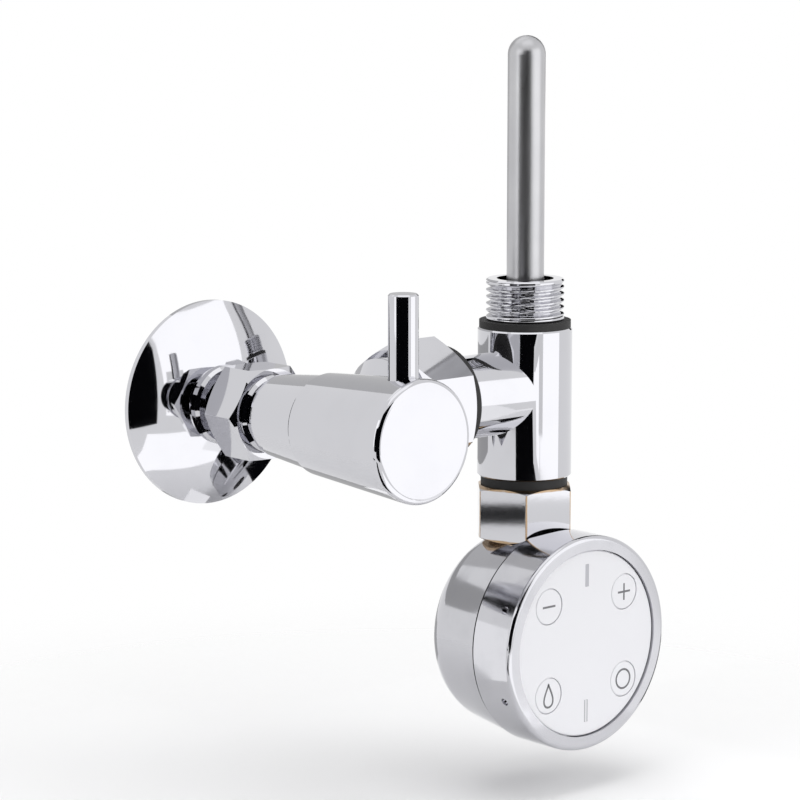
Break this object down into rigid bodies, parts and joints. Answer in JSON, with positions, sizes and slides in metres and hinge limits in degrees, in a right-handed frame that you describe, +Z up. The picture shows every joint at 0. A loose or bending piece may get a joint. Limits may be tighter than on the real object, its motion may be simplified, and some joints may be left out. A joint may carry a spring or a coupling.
{
  "type": "radiator valve set with thermostatic heating element",
  "caption": "Chrome lever-head corner valve joined by a union and a tee to a thermostatic electric heating element with a round push-key controller.",
  "frame": {"origin": "the supply pipe's axis at the wall face, in the plane of the rose's back", "axes": "+X to the right along the wall, +Y into the wall, +Z up; the room is towards -Y"},
  "size_m": [0.1323, 0.107, 0.189],
  "materials": {
    "chrome": "polished chrome plate on brass",
    "plated_brass": "nickel-chrome plate, brass showing at the turned edges",
    "plated_plastic": "chrome-plated moulding",
    "brass": "turned brass",
    "steel": "drawn stainless steel",
    "seal_rubber": "matt black rubber",
    "nylon": "natural moulded nylon",
    "magnesia": "packed oxide core",
    "white_plastic": "satin white moulding with grey printed symbols",
    "light_guide": "smoked clear moulding",
    "circuit_board": "green solder mask",
    "black_plastic": "black moulding",
    "grey_plastic": "grey moulding"
  },
  "bodies": {
    "fixed_set": {"wall_rose": "chrome", "supply_pipe": "chrome", "compression_nut": "chrome", "olive": "brass", "valve_body": "chrome", "bonnet": "brass", "bonnet_seal": "seal_rubber", "union_nut": "chrome", "union_seal": "seal_rubber", "union_tail": "chrome", "tail_seal": "seal_rubber", "tee_body": "chrome", "radiator_seal": "seal_rubber", "element_seal": "seal_rubber", "element_fitting": "plated_brass", "neck_seal": "seal_rubber", "element_clip": "steel", "heater_sheath": "steel", "heater_core": "magnesia", "temperature_probe": "steel", "cold_pins": "steel", "spade_terminals": "brass", "rear_casing": "plated_plastic", "casing_gasket": "seal_rubber", "front_casing": "plated_plastic", "casing_screws": "steel", "cable_bush": "seal_rubber", "bezel": "plated_plastic", "face_panel": "white_plastic", "light_guides": "light_guide", "control_board": "circuit_board", "key_switches": "black_plastic", "board_screws": "steel", "power_board": "circuit_board", "relay": "black_plastic", "terminal_block": "grey_plastic"},
    "turning_head": {"spindle": "brass", "spindle_seals": "seal_rubber", "spindle_clip": "steel", "head_insert": "nylon", "head_cap": "chrome", "lever_pin": "chrome", "grub_screw": "steel"},
    "valve_plug": {"plug": "brass", "plug_washer": "seal_rubber"},
    "minus_button": {"minus_key": "white_plastic"},
    "plus_button": {"plus_key": "white_plastic"},
    "boost_button": {"boost_key": "white_plastic"},
    "power_button": {"power_key": "white_plastic"}
  },
  "joints": [
    {"name": "head_turn", "type": "hinge", "parent": "fixed_set", "child": "turning_head", "pos_m": [0, -0.067, 0], "axis": [0, -1, 0], "range_deg": [0, 720]},
    {"name": "plug_lift", "type": "slide", "parent": "fixed_set", "child": "valve_plug", "axis": [0, -1, 0], "range_m": [0, 0.003]},
    {"name": "minus_press", "type": "slide", "parent": "fixed_set", "child": "minus_button", "axis": [0, 1, 0], "range_m": [0, 0.0004], "stiffness_N_per_m": 4000},
    {"name": "plus_press", "type": "slide", "parent": "fixed_set", "child": "plus_button", "axis": [0, 1, 0], "range_m": [0, 0.0004], "stiffness_N_per_m": 4000},
    {"name": "boost_press", "type": "slide", "parent": "fixed_set", "child": "boost_button", "axis": [0, 1, 0], "range_m": [0, 0.0004], "stiffness_N_per_m": 4000},
    {"name": "power_press", "type": "slide", "parent": "fixed_set", "child": "power_button", "axis": [0, 1, 0], "range_m": [0, 0.0004], "stiffness_N_per_m": 4000}
  ],
  "couplings": [
    {"joint": "plug_lift", "follows": "head_turn", "m_per_rad": 0.00023873}
  ]
}
